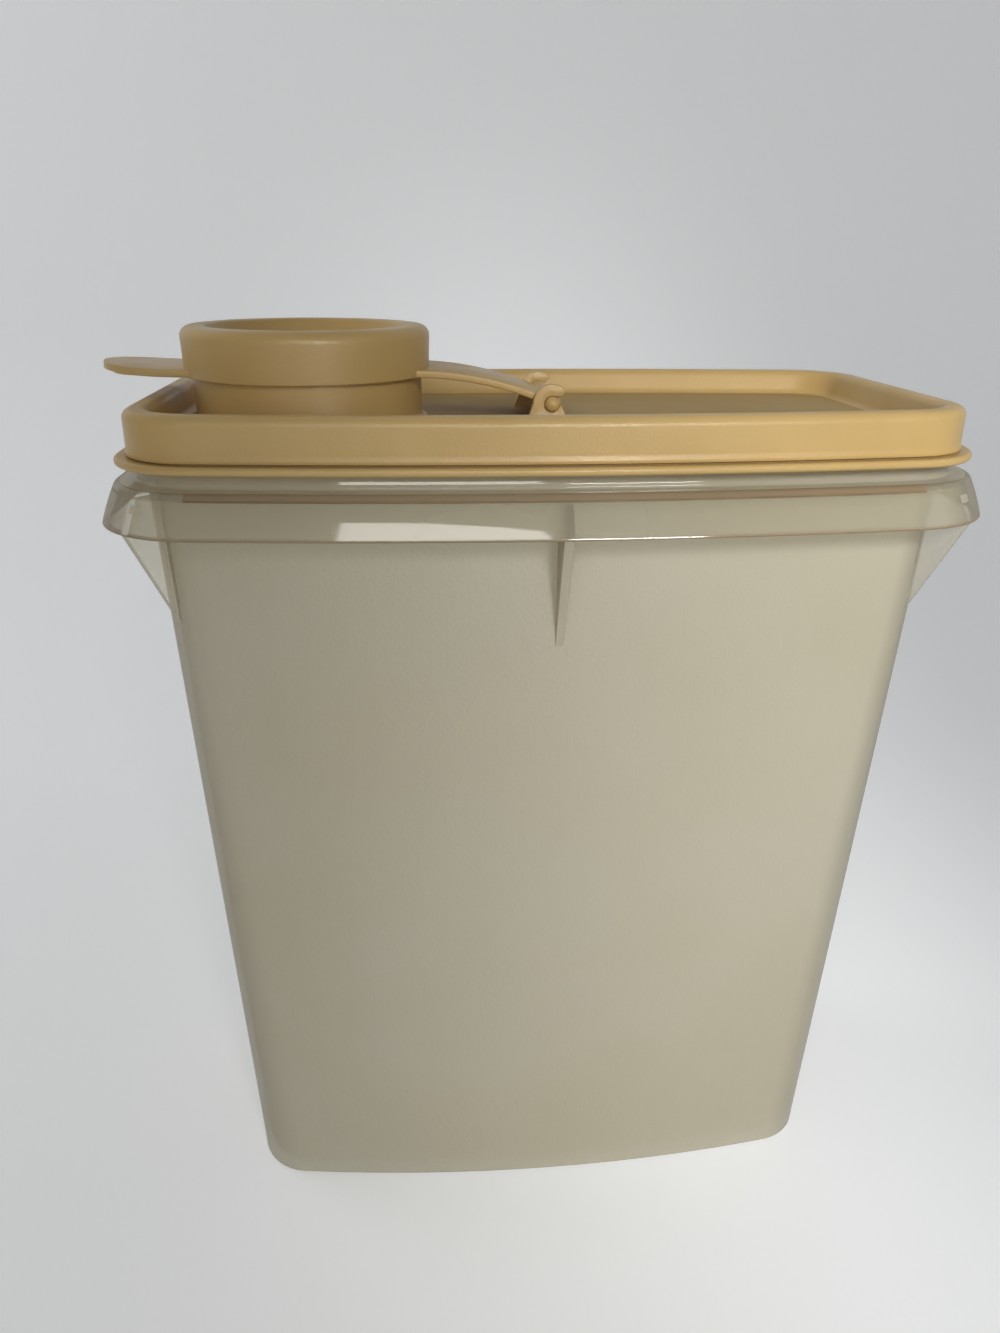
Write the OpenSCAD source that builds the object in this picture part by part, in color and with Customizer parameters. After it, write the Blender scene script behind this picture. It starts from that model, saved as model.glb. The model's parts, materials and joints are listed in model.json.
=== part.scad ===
// Tall cereal container with a press-on lid and a round flip-top spout.
//
// Three mouldings: the translucent container, the lid that grips the container's neck, and the
// flip cap, whose strap ends in a cross pin that snaps into two hooked ears on the lid.
// Millimetres, Z up. The origin is the centre of the container's base, on the table.
// The long sides run along X. The spout is on the -X side.

/* [Neck] */
// Length of the container's neck over its outer faces
neck_length = 223.6; // [200:0.1:260]
// Depth of the neck over its corners, without the bow of its long sides
neck_depth = 103.2; // [90:0.1:130]
// Radius of the neck's corners
neck_corner_r = 17.8; // [14:0.1:24]
// How far the long sides of the neck bow out between the corners
side_bow = 5.2; // [3:0.1:7]
// Height of the neck above the collar's shelf
neck_height = 16.6; // [12:0.1:22]
// Radius of the bead that runs round the top of the neck
neck_bead_r = 1.2; // [0.8:0.1:1.6]
// Distance from the top of the neck down to the middle of the bead
neck_bead_drop = 3.5; // [2.5:0.1:5]

/* [Container body] */
// Thickness of the container's wall
wall = 2; // [1.6:0.1:2.6]
// Thickness of the floor
floor_t = 2.4; // [1.8:0.1:4]
// Length of the base
base_length = 200.6; // [180:0.1:220]
// Depth of the base over its corners, without the bow of its long sides
base_depth = 86.4; // [76:0.1:100]
// Radius of the base's corners
base_corner_r = 20; // [12:0.1:26]
// How far the long sides of the base bow out
base_bow = 3.8; // [2:0.1:6]
// Rounding of the bottom edge
base_edge_r = 3; // [2:0.1:5]
// Height of the collar's shelf above the table
shelf_z = 247.8; // [150:0.1:320]
// Step from the neck's face in to the wall below the shelf
shoulder_step = 1.2; // [0.6:0.1:1.6]

/* [Collar] */
// Thickness of the shelf
shelf_t = 2; // [1.4:0.1:3]
// How far the shelf reaches out from the neck
shelf_reach = 6.9; // [5.5:0.1:10]
// Height of the skirt, from the top of the shelf to the skirt's edge
skirt_height = 11.2; // [8:0.1:16]
// How much further out the skirt's edge lies than the shelf
skirt_flare = 4.6; // [2:0.1:7]
// Thickness of the skirt
skirt_t = 1.6; // [1.2:0.1:2.2]
// Rounding between shelf and skirt
collar_edge_r = 1.8; // [1:0.1:3]
// Thickness of the gussets under the collar
gusset_t = 2.5; // [1.4:0.1:3]
// How far the corner gussets run down the wall below the shelf
corner_gusset_drop = 37.5; // [24:0.5:60]
// How far the gussets of the long sides run down the wall below the shelf
side_gusset_drop = 44; // [24:0.5:60]

/* [Lid] */
// Thickness of the lid's wall
lid_wall = 1.6; // [1.2:0.1:2]
// Gap between the neck's bead and the lid's outer wall
lid_gap = 0.4; // [0.3:0.05:0.6]
// Gap between the lid and the top and the inner face of the neck
lid_seat = 0.3; // [0.2:0.05:0.5]
// Gap between the lid's flange and the collar's shelf
flange_gap = 4.2; // [2:0.1:6]
// Rounding of the rim's top edges
rim_edge_r = 2.5; // [2:0.1:2.8]
// Degrees by which the rim's inner wall leans over on its way down to the panel
rim_lean = 17; // [4:1:26]
// Fillet between the rim's inner wall and the panel
panel_fillet = 2; // [1:0.1:3]
// Depth of the panel below the top of the rim
panel_drop = 7.5; // [6:0.1:9]
// Thickness of the panel
panel_t = 1.8; // [1.4:0.1:2.4]
// Thickness of the flange round the lid's lower edge
flange_t = 2.3; // [1.8:0.1:3]
// How far the flange stands out from the lid's outer wall
flange_reach = 3.3; // [2.5:0.1:4.5]

/* [Spout] */
// Outer diameter of the spout
spout_d = 66.2; // [56:0.1:70]
// Gap between the foot of the spout and the foot of the rim, at the pouring end
spout_gap = 1.1; // [0.4:0.1:8]
// Thickness of the spout's wall
spout_wall = 1.6; // [1.2:0.1:2]
// Height of the spout above the panel
spout_height = 24.3; // [22:0.1:28]
// How much the spout's radius shrinks where the cap covers it
spout_taper = 1.2; // [1.1:0.05:1.6]
// Fillet at the foot of the spout
spout_fillet = 1.6; // [0.8:0.1:2]

/* [Flip cap] */
// Gap between the cap's lower edge and the spout
cap_gap = 0.7; // [0.5:0.1:1.5]
// How much wider the cap is at its shoulder than at its lower edge
cap_swell = 1; // [0:0.1:2]
// Height of the cap's skirt below its seat on the spout
cap_skirt = 12.1; // [9:0.1:14]
// Thickness of the cap's wall
cap_wall = 1.6; // [1.2:0.1:1.8]
// Rounding of the cap's outer top edge
cap_edge_r = 3; // [2:0.1:3.5]
// Gap between the cap and the top of the spout, with the cap shut
cap_seat = 0.1; // [0.05:0.05:0.3]
// Depth of the dish in the top of the cap
dish_depth = 7; // [5:0.1:8]
// Fillet between the dish's wall and its floor
dish_fillet = 1.5; // [0.8:0.1:2.5]
// Gap between the plug under the dish and the spout, at the plug's top
plug_gap = 0.7; // [0.5:0.1:1.2]
// How much the plug narrows from its top to its bottom
plug_taper = 4.4; // [3.2:0.1:5]

/* [Strap and tab] */
// Width of the strap and of the finger tab
strap_w = 32; // [24:0.5:34]
// Thickness of the strap and of the tab
strap_t = 2.1; // [1.6:0.1:2.6]
// How far the tab reaches out from the cap
tab_reach = 23; // [19:0.5:26]
// How far the tab's tip curls up
tab_lift = 1.8; // [1:0.1:3]
// Height of the tab's underside above the cap's lower edge, where the tab leaves the cap
tab_sill = 0.3; // [0.2:0.1:0.8]
// Depth of the grip pad under the tab's tip
pad_depth = 1.3; // [0.8:0.1:1.6]
// Length of the grip pad
pad_length = 11; // [8:0.5:13]
// Gap between the pad's edge and the tab's edge
pad_inset = 2.5; // [1:0.1:4]

/* [Hinge] */
// Distance of the hinge pin from the spout's axis
hinge_reach = 70.4; // [66:0.1:80]
// Height of the hinge pin above the panel
hinge_height = 5.2; // [4.6:0.1:6]
// Diameter of the hinge pin
pin_d = 4.4; // [4:0.1:5]
// Radial clearance of the pin in the ears
pin_clearance = 0.08; // [0.04:0.01:0.1]
// Radius of the strap's rolled end round the pin
barrel_r = 2.9; // [2.7:0.1:3.4]
// Gap between the strap and each ear
ear_gap = 0.35; // [0.2:0.05:0.6]
// Thickness of each ear
ear_t = 2.2; // [1.8:0.1:3]
// Radius of each ear's hook
ear_r = 5.5; // [5:0.1:6.5]
// How far the foot of each ear reaches from the pin's axis towards the spout
ear_back = 7.4; // [6.5:0.1:10]
// How far the foot of each ear reaches from the pin's axis the other way
ear_front = 4.9; // [4:0.1:7]
// Width of the mouth that the pin snaps in through
mouth_w = 2.6; // [2.2:0.1:2.7]
// How far the mouth's lower lip lies below the pin's axis
mouth_drop = 0.5; // [0:0.1:0.8]
// Flat on top of the mouth's lower lip
lip_w = 0.5; // [0.3:0.1:1]
// Slope of the end of the mouth's upper lip, in degrees
lip_slope = 55; // [10:5:65]

/* [Hidden] */

milk = [0.80, 0.79, 0.70, 0.6];
gold = [0.80, 0.62, 0.34];

arc_fn = 96;   // segments of a full circle, for corners, the spout and the cap
small_fn = 48; // segments of a full circle, for the hinge
bow_fn = 720;  // segments of a full circle, for the long bowed sides
skin = 0.01;   // thickness of a cross-section in a loft
bite = 0.5;    // how deep one form of a moulding runs into the next
arc_step = 18; // largest turn, in degrees, between two points of a rounded edge

// The neck's plan: two straight ends, two bowed sides and four corners, all tangent. Every other
// plan of the collar and the lid is this one, moved out or in by an even distance.
corner_x = neck_length / 2 - neck_corner_r;
corner_y = neck_depth / 2 - neck_corner_r;
bow_angle = round(200 * atan(side_bow / corner_x)) / 100;
bow_lever = corner_x / sin(bow_angle);
bow_r = bow_lever + neck_corner_r;
bow_y = corner_y - corner_x / tan(bow_angle);

neck_top = shelf_z + neck_height;
shelf_bottom = shelf_z - shelf_t;
skirt_bottom = shelf_z - skirt_height;
skirt_edge = shelf_reach + skirt_flare;
skirt_lean = atan(skirt_flare / skirt_height);
skirt_thick_x = skirt_t / cos(skirt_lean);
corner_tip = shelf_bottom - corner_gusset_drop;
side_tip = shelf_bottom - side_gusset_drop;

lid_out = neck_bead_r + lid_gap + lid_wall;
rim_top = neck_top + lid_seat + lid_wall;
rim_in = wall + lid_seat + lid_wall;
flange_bottom = shelf_z + flange_gap;
flange_top = flange_bottom + flange_t;
panel_top = rim_top - panel_drop;
panel_bottom = panel_top - panel_t;
rim_edge_z = rim_top - rim_edge_r;
rim_edge_x = rim_edge_r - rim_in;
rim_foot = rim_edge_r + panel_fillet + (rim_edge_z - panel_top - panel_fillet) * sin(rim_lean);
panel_edge = rim_foot / cos(rim_lean) - rim_edge_x;

spout_r = spout_d / 2;
spout_x = panel_edge + spout_gap + spout_fillet + spout_r - neck_length / 2;
spout_bore_r = spout_r - spout_wall;
spout_top = panel_top + spout_height;

cap_seat_z = spout_top + cap_seat;
cap_top = cap_seat_z + cap_wall;
cap_bottom = cap_seat_z - cap_skirt;
cap_r = spout_r + cap_gap + cap_wall;
cap_shoulder_r = cap_r + cap_swell / 2;
strap_root = sqrt(cap_r * cap_r - strap_w * strap_w / 4) - cap_wall / 2;
plug_r = spout_bore_r - spout_taper - plug_gap;
dish_floor = cap_top - dish_depth;

hinge_x = spout_x + hinge_reach;
hinge_z = panel_top + hinge_height;
pin_r = pin_d / 2;
ear_in = strap_w / 2 + ear_gap;
ear_out = ear_in + ear_t;
pin_reach = ear_out + ear_gap;

// Points along an arc in the plane of a profile, by its centre, its radius and two directions
function arc(x, z, r, from, to) =
    let (steps = ceil(abs(to - from) / arc_step))
    [for (i = [0 : steps]) let (t = from + (to - from) * i / steps) [x + r * cos(t), z + r * sin(t)]];

// A value part of the way from one size to another
function blend(low, high, t) = low + (high - low) * t;

// How far up the tapered wall a height lies, from 0 at the table to 1 at the shelf
function rise(z) = z / shelf_z;

// Sizes of the container's outside at a height: length, depth, corner radius and bow
function body_length(z) = blend(base_length, neck_length - 2 * shoulder_step, rise(z));
function body_depth(z) = blend(base_depth, neck_depth - 2 * shoulder_step, rise(z));
function body_corner(z) = blend(base_corner_r, neck_corner_r - shoulder_step, rise(z));
function body_bow(z) = blend(base_bow, side_bow, rise(z));

// Outline of a bowed, rounded rectangle as points, for the lofted wall
function outline(length, depth, r, bow, corner_steps = 8, side_steps = 4) =
    let (
        x = length / 2 - r,
        y = depth / 2 - r,
        lever = (x * x + bow * bow) / (2 * bow),
        half = asin(x / lever),
        quarter = concat(
            [for (i = [0 : corner_steps]) let (t = (90 - half) * i / corner_steps)
                [x + r * cos(t), y + r * sin(t)]],
            [for (i = [1 : side_steps]) let (t = 90 - half + half * i / side_steps)
                [(lever + r) * cos(t), y + bow - lever + (lever + r) * sin(t)]]
        ),
        count = len(quarter) - 1,
        upper = concat(quarter, [for (i = [1 : count]) [-quarter[count - i][0], quarter[count - i][1]]])
    )
    concat(upper, [for (i = [0 : len(upper) - 1]) -upper[i]]);

// A thin slice of the container's wall at a height, moved in by an inset
module body_slice(z, inset) {
    translate([0, 0, z])
        linear_extrude(skin)
            polygon(outline(
                body_length(z) - 2 * inset,
                body_depth(z) - 2 * inset,
                body_corner(z) - inset,
                body_bow(z)
            ));
}

// The tapered, round-edged block between two heights that the wall's outside and inside follow
module body_block(bottom, top, inset, edge_r) {
    hull() {
        for (t = [0 : 22.5 : 90])
            body_slice(bottom + edge_r * (1 - cos(t)), inset + edge_r * (1 - sin(t)));
        body_slice(top - skin, inset);
    }
}

// Copies a form to all four corners of the plan
module four_corners() {
    for (i = [0, 1], j = [0, 1])
        mirror([i, 0, 0]) mirror([0, j, 0]) children();
}

// Moves by a long distance in a round step and a small one, so that an export that prints few
// digits keeps the parts of a sweep exactly in line
module long_move(x, y) {
    round_x = round(1000 * x) / 1000;
    round_y = round(1000 * y) / 1000;
    translate([round_x, round_y]) translate([x - round_x, y - round_y]) children();
}

// Sweeps a profile round the neck's plan. The profile's X is the distance out from the neck.
module round_the_neck() {
    four_corners()
        translate([corner_x, corner_y, 0])
            rotate_extrude(angle = 90 - bow_angle, $fn = arc_fn)
                translate([neck_corner_r, 0]) children();
    for (j = [0, 1])
        mirror([0, j, 0])
            long_move(0, bow_y)
                rotate_extrude(angle = 2 * bow_angle, start = 90 - bow_angle, $fn = bow_fn)
                    long_move(bow_r, 0) children();
    for (i = [0, 1])
        mirror([i, 0, 0])
            translate([neck_length / 2, corner_y, 0])
                rotate([90, 0, 0])
                    linear_extrude(2 * corner_y) children();
}

// The neck's plan as a filled shape, moved in by a distance
module neck_plan(inset) {
    joint_r = bow_lever + 2 * neck_corner_r;
    joint_x = joint_r * sin(bow_angle);
    joint_y = bow_y + joint_r * cos(bow_angle);
    for (i = [-1, 1], j = [-1, 1])
        translate([i * corner_x, j * corner_y]) circle(neck_corner_r - inset, $fn = arc_fn);
    square([neck_length - 2 * inset, 2 * corner_y], center = true);
    for (j = [0, 1])
        mirror([0, j])
            intersection() {
                long_move(0, bow_y) circle(bow_r - inset, $fn = 4 * bow_fn);
                polygon([
                    [-corner_x, 0],
                    [corner_x, 0],
                    [corner_x, corner_y],
                    [joint_x, joint_y],
                    [-joint_x, joint_y],
                    [-corner_x, corner_y]
                ]);
            }
}

// ---- Container ----

// Section of the neck: a wall with a round top and a bead that the lid snaps over
module neck_profile() {
    top_r = wall / 2;
    translate([-wall, shelf_bottom]) square([wall, neck_top - top_r - shelf_bottom]);
    translate([-top_r, neck_top - top_r]) circle(top_r, $fn = small_fn);
    intersection() {
        translate([0, neck_top - neck_bead_drop]) circle(neck_bead_r, $fn = small_fn);
        translate([-top_r, shelf_z]) square([top_r + neck_bead_r, neck_height]);
    }
}

// Section of the collar: a level shelf that turns down into a flared skirt
module collar_profile() {
    turn_x = shelf_reach - collar_edge_r * tan((90 - skirt_lean) / 2);
    inner_x = skirt_edge - skirt_thick_x;
    under_x = inner_x - skirt_flare * (shelf_bottom - skirt_bottom) / skirt_height;
    polygon(concat(
        [[-shoulder_step - wall / 2, shelf_bottom], [-shoulder_step - wall / 2, shelf_z]],
        arc(turn_x, shelf_z - collar_edge_r, collar_edge_r, 90, skirt_lean),
        [[skirt_edge, skirt_bottom], [inner_x, skirt_bottom], [under_x, shelf_bottom]]
    ));
}

// One gusset, running down to the height tip. wall_top and wall_tip are the distances of the wall
// from the gusset's own axis, and edge is that of the skirt's lower edge.
module gusset(tip, wall_top, wall_tip, edge) {
    inner_edge = edge - skirt_thick_x;
    rotate([90, 0, 0])
        linear_extrude(gusset_t, center = true)
            polygon([
                [wall_top - wall / 2, shelf_bottom + bite],
                [inner_edge - skirt_flare + bite, shelf_bottom + bite],
                [inner_edge + bite, skirt_bottom],
                [wall_tip, tip],
                [wall_tip - wall / 2, tip]
            ]);
}

// Distance of the wall's outside from the axis of a corner, out along the diagonal
function corner_wall(z) =
    (body_length(z) / 2 + body_depth(z) / 2 - 2 * body_corner(z) - corner_x - corner_y) * sin(45)
    + body_corner(z);

// Distance of the wall's outside from the middle of the container, half-way along a long side
function side_wall(z) = body_depth(z) / 2 + body_bow(z);

module gussets() {
    four_corners()
        translate([corner_x, corner_y, 0])
            rotate([0, 0, 45])
                gusset(corner_tip, corner_wall(shelf_z), corner_wall(corner_tip), neck_corner_r + skirt_edge);
    for (side = [-90, 90])
        rotate([0, 0, side])
            gusset(side_tip, side_wall(shelf_z), side_wall(side_tip), neck_depth / 2 + side_bow + skirt_edge);
}

module container() {
    color(milk) {
        difference() {
            body_block(0, shelf_z, 0, base_edge_r);
            body_block(floor_t, shelf_z + skin, wall, base_edge_r + wall);
        }
        round_the_neck() {
            neck_profile();
            collar_profile();
        }
        gussets();
    }
}

// ---- Lid ----

// Section of the lid's rim: an upturned channel over the neck, with a round-lipped flange
// outside at the bottom and the edge of the sunken panel inside
module rim_profile() {
    lip_r = flange_t / 2;
    inner_r = rim_edge_r - lid_wall;
    channel_foot = inner_r / cos(rim_lean) + (rim_edge_z - panel_bottom) * tan(rim_lean);
    polygon(concat(
        [[lid_out - lid_wall, flange_bottom]],
        arc(lid_out + flange_reach - lip_r, flange_bottom + lip_r, lip_r, -90, 90),
        [[lid_out, flange_top]],
        arc(lid_out - rim_edge_r, rim_edge_z, rim_edge_r, 0, 90),
        arc(rim_edge_x, rim_edge_z, rim_edge_r, 90, 180 - rim_lean),
        arc(-panel_edge, panel_top + panel_fillet, panel_fillet, -rim_lean, -90),
        [
            [-panel_edge - bite, panel_top],
            [-panel_edge - bite, panel_bottom],
            [rim_edge_x - channel_foot, panel_bottom]
        ],
        arc(rim_edge_x, rim_edge_z, inner_r, 180 - rim_lean, 90),
        arc(lid_out - rim_edge_r, rim_edge_z, inner_r, 90, 0)
    ));
}

// Half section of the spout: straight below the cap, and narrower where the cap covers it
module spout_profile() {
    lip_r = spout_wall / 2;
    taper_z = cap_bottom;
    neck_r = spout_r - spout_taper;
    polygon(concat(
        [[spout_bore_r, panel_bottom + bite], [spout_r + spout_fillet, panel_bottom + bite]],
        arc(spout_r + spout_fillet, panel_top + spout_fillet, spout_fillet, 270, 180),
        [[spout_r, taper_z]],
        arc(neck_r - lip_r, spout_top - lip_r, lip_r, 0, 180),
        [[spout_bore_r, taper_z]]
    ));
}

// Outline of a hinge ear, round the pin's axis: a hook with a sloping back, open towards the
// far end of the lid so that the pin can be pressed in
module ear_plan() {
    hole_r = pin_r + pin_clearance;
    foot = hinge_height + panel_t / 2;
    lip_x = hole_r + lip_w;
    mouth_top = mouth_w - mouth_drop;
    difference() {
        union() {
            circle(ear_r, $fn = small_fn);
            polygon([
                [-ear_r, 0],
                [-ear_back, -hinge_height],
                [-ear_back, -foot],
                [ear_front, -foot],
                [ear_front, -hinge_height],
                [lip_x, -mouth_drop]
            ]);
        }
        circle(hole_r, $fn = small_fn);
        polygon([
            [0, mouth_top],
            [lip_x, mouth_top],
            [ear_r + lip_w, mouth_top + (ear_r - hole_r) * tan(lip_slope)],
            [ear_r + lip_w, -hinge_height],
            [ear_front, -hinge_height],
            [lip_x, -mouth_drop],
            [0, -mouth_drop]
        ]);
    }
}

module hinge_ears() {
    for (y = [ear_out, -ear_in])
        translate([hinge_x, y, hinge_z])
            rotate([90, 0, 0]) linear_extrude(ear_t) ear_plan();
}

module lid() {
    color(gold) {
        round_the_neck() rim_profile();
        difference() {
            translate([0, 0, panel_bottom]) linear_extrude(panel_t) neck_plan(panel_edge + bite / 2);
            translate([spout_x, 0, panel_bottom - bite])
                cylinder(r = spout_bore_r, h = panel_t + 2 * bite, $fn = arc_fn);
        }
        translate([spout_x, 0, 0]) rotate_extrude($fn = arc_fn) spout_profile();
        hinge_ears();
    }
}

// ---- Flip cap ----

// Half section of the cap: a skirt over the spout, a round shoulder, and a dish whose underside
// is the plug that sits inside the spout
module cap_profile() {
    plug_bottom = dish_floor - cap_wall;
    lean = atan(plug_taper / (cap_seat_z - plug_bottom));
    bend_z = dish_floor + dish_fillet;
    bend_r = dish_fillet + cap_wall;
    bend_x = plug_r - (cap_seat_z - bend_z) * tan(lean) - bend_r / cos(lean);
    polygon(concat(
        [[cap_r - cap_wall, cap_bottom], [cap_r, cap_bottom]],
        arc(cap_shoulder_r - cap_edge_r, cap_top - cap_edge_r, cap_edge_r, 0, 90),
        arc(plug_r, cap_seat_z, cap_wall, 90, 180 - lean),
        arc(bend_x, bend_z, dish_fillet, -lean, -90),
        [[0, dish_floor], [0, plug_bottom]],
        arc(bend_x, bend_z, bend_r, -90, -lean),
        [[plug_r, cap_seat_z]],
        arc(cap_shoulder_r - cap_edge_r, cap_top - cap_edge_r, cap_edge_r - cap_wall, 90, 0)
    ));
}

// The finger tab: a strip with a round end, curled up a little along a circle
module finger_tab() {
    end_r = strap_w / 2;
    tip = -cap_r - tab_reach;
    run = -strap_root - tip;
    curl_r = run * run / (2 * tab_lift);
    intersection() {
        translate([-strap_root, strap_w / 2, cap_bottom + tab_sill + curl_r])
            rotate([90, 0, 0])
                linear_extrude(strap_w)
                    difference() {
                        circle(curl_r, $fn = bow_fn);
                        circle(curl_r - strap_t, $fn = bow_fn);
                        translate([0, -2 * curl_r]) square(4 * curl_r);
                        translate([-2 * curl_r, 0]) square(4 * curl_r);
                    }
        translate([0, 0, cap_bottom])
            linear_extrude(tab_sill + strap_t + 2 * tab_lift) {
                translate([tip + end_r, 0]) circle(end_r, $fn = arc_fn);
                translate([tip + end_r, -end_r]) square([run - end_r, strap_w]);
            }
    }
}

// The pad under the tab's tip that stops a finger from slipping off
module grip_pad() {
    pad_r = strap_w / 2 - pad_inset;
    pad_x = -cap_r - tab_reach + strap_w / 2;
    tab_z = cap_bottom + tab_sill + (tab_lift - pad_depth) / 2;
    intersection() {
        translate([pad_x, 0, tab_z]) cylinder(r = pad_r, h = pad_depth + bite, $fn = arc_fn);
        translate([pad_x - pad_r, -pad_r, tab_z])
            cube([pad_length, 2 * pad_r, pad_depth + bite]);
    }
}

// The strap: an arch that leaves the cap level and comes down on the pin's axis
module strap() {
    run = hinge_reach - strap_root;
    fall = cap_bottom + strap_t / 2 - hinge_z;
    arch_r = (run * run + fall * fall) / (2 * fall);
    sweep = asin(run / arch_r);
    translate([strap_root, strap_w / 2, cap_bottom + strap_t / 2 - arch_r])
        rotate([90, 0, 0])
            linear_extrude(strap_w)
                intersection() {
                    difference() {
                        circle(arch_r + strap_t / 2, $fn = bow_fn);
                        circle(arch_r - strap_t / 2, $fn = bow_fn);
                    }
                    polygon([[0, 0], [0, 2 * arch_r], 2 * arch_r * [sin(sweep), cos(sweep)]]);
                }
}

// The cross pin, with the strap's rolled end between the ears and a dome at each end
module hinge_pin() {
    rotate([90, 0, 0]) cylinder(r = pin_r, h = 2 * pin_reach, center = true, $fn = small_fn);
    rotate([90, 0, 0]) cylinder(r = barrel_r, h = strap_w, center = true, $fn = small_fn);
    for (y = [-pin_reach, pin_reach])
        translate([0, y, 0]) sphere(pin_r, $fn = small_fn);
}

module flip_cap() {
    color(gold) {
        translate([spout_x, 0, 0]) {
            rotate_extrude($fn = arc_fn) cap_profile();
            difference() {
                union() {
                    finger_tab();
                    grip_pad();
                    strap();
                }
                translate([0, 0, cap_bottom - bite])
                    cylinder(r = cap_r - cap_wall, h = cap_skirt, $fn = arc_fn);
            }
        }
        translate([hinge_x, 0, hinge_z]) hinge_pin();
    }
}

container();
lid();
flip_cap();
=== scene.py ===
import bmesh
import bpy
import json
import math
from mathutils import Matrix, Vector

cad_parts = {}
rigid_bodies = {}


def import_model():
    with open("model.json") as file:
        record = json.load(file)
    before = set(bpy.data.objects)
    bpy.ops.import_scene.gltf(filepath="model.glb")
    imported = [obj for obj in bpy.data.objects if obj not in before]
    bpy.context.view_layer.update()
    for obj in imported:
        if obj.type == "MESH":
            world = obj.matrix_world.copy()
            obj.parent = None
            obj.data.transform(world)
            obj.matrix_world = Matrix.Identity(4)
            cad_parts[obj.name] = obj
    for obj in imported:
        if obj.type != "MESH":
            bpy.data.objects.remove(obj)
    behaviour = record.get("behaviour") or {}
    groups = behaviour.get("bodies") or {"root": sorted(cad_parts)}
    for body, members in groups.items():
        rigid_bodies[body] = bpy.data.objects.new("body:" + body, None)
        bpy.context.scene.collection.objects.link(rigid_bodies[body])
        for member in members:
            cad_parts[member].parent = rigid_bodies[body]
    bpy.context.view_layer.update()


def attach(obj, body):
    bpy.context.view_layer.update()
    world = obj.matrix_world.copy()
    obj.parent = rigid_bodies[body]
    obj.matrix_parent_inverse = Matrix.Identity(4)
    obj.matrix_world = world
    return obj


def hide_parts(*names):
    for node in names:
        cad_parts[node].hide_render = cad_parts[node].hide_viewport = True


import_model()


# ---- Container ----
# A tall tub, injection moulded in one piece in milky polyethylene: tapered walls with bowed long
# sides, a plain neck with a bead that grips the lid, and a level shelf that turns down into a
# flared skirt.
MM = 0.001
# Each plan gives a length, a depth, a corner radius and how far the long sides bow out.
NECK_PLAN = (223.6, 103.2, 17.8, 5.2)
BASE_PLAN = (199.1, 88.2, 18, 5.5)
CORNER_STEPS = 20
SIDE_STEPS = 12
LAST_STRAIGHT = 2
NECK_TOP = 264.4
SHELF = 247.8
UNDER_SHELF = 245.8
SKIRT_BOTTOM = 236.6
WALL_TOP = 243.8
WALL_FOOT = 6
WALL_STEPS = 10
INSIDE_TOP = 245
INSIDE_FOOT = 10
INSIDE_FLOOR = 2.4
SAME_PLACE = 0.002
SHORTEST_LINE = 0.001
MIRROR_GAP = 0.005

# Each section gives its corners as a distance outwards from the plan, a height, and a radius
# where the corner is rounded.
COLLAR_SECTION = [
    (-3.3, INSIDE_TOP),
    (-3.2, 247.2),
    (-2, 248.6),
    (-2, NECK_TOP, 1),
    (0, NECK_TOP, 1),
    (0, 262.1),
    (1.2, 262.1, 1.2),
    (1.2, 259.7, 1.2),
    (0, 259.7),
    (0, 252.6, 2),
    (1.1, 249.1, 1),
    (1.1, SHELF, 0.7),
    (6.9, SHELF, 1.8),
    (7.85, 245.9),
    (9.6, 242.4, 60),
    (11.5, SKIRT_BOTTOM, 0.35),
    (9.77, SKIRT_BOTTOM, 0.35),
    (5.99, UNDER_SHELF, 0.6),
    (-1.28, UNDER_SHELF, 0.8),
    (-1.37, WALL_TOP),
]
BASE_SECTION = [(0.2, WALL_FOOT), (0, 0, 0.9), (-14, 0)]
FLOOR_SECTION = [(-1.7, INSIDE_FOOT), (-2, INSIDE_FLOOR, 4), (-18, INSIDE_FLOOR)]


def start_piece(name):
    """Opens a new, empty piece for shaping in edit mode."""
    bpy.ops.object.select_all(action="DESELECT")
    bpy.ops.mesh.primitive_plane_add(size=MM)
    piece = bpy.context.object
    piece.name = piece.data.name = name
    bpy.ops.object.mode_set(mode="EDIT")
    bpy.ops.mesh.delete(type="VERT")
    return piece


def pen_down(x, z):
    """Puts the first point of a line down, in millimetres, in the upright plane through X."""
    bpy.ops.mesh.select_all(action="DESELECT")
    bpy.ops.mesh.primitive_plane_add(size=MM)
    bpy.ops.mesh.merge(type="CENTER")
    bpy.ops.transform.translate(value=(x * MM, 0, z * MM))
    return Vector((x, z))


def extrude(x, y, z):
    """Extrudes what is selected by these millimetres."""
    bpy.ops.mesh.extrude_region_move(TRANSFORM_OT_translate={"value": (x * MM, y * MM, z * MM)})


def line_to(pen, x, z):
    """Extrudes the last point to a new place."""
    step = Vector((x, z)) - pen
    if step.length > SHORTEST_LINE:
        extrude(step.x, 0, step.y)
    return Vector((x, z))


def arc_round(centre, pen, degrees, step=12):
    """Spins the last point round a centre in the same plane, anticlockwise for a positive turn."""
    steps = max(4, math.ceil(abs(degrees) / step))
    turn = math.radians(degrees)
    middle = (centre[0] * MM, 0, centre[1] * MM)
    bpy.ops.mesh.spin(steps=steps, angle=turn, center=middle, axis=(0, 1, 0))
    out = pen - Vector(centre)
    return Vector(centre) + Matrix.Rotation(turn, 2) @ out


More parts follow.
